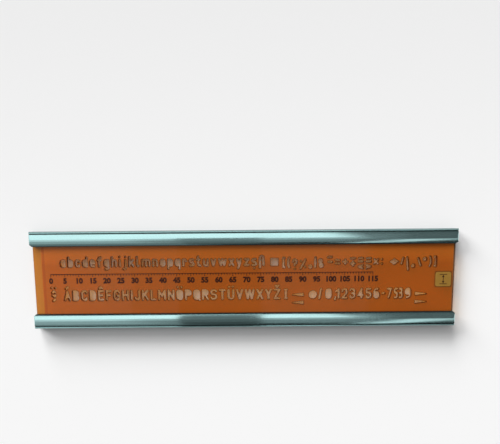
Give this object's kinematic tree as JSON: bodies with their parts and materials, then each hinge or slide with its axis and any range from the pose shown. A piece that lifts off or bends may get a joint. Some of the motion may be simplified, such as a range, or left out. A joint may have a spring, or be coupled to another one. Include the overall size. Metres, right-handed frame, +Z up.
{
  "type": "lettering stencil",
  "caption": "Transparent lettering stencil plate with rows of slots for letters, figures and signs, held clear of the paper between two aluminium rails.",
  "frame": {"origin": "middle of the stencil on the paper, under the middle of the bounding box", "axes": "+X along the lines of lettering in reading direction, +Y up the page, +Z up from the paper"},
  "size_m": [0.151, 0.0348, 0.0044],
  "materials": {
    "orange_plastic": "transparent orange, polished faces",
    "anodised_aluminium": "satin anodised, drawn along the length"
  },
  "bodies": {
    "root": {"stencil_plate": "orange_plastic", "upper_rail": "anodised_aluminium", "lower_rail": "anodised_aluminium"}
  },
  "joints": []
}
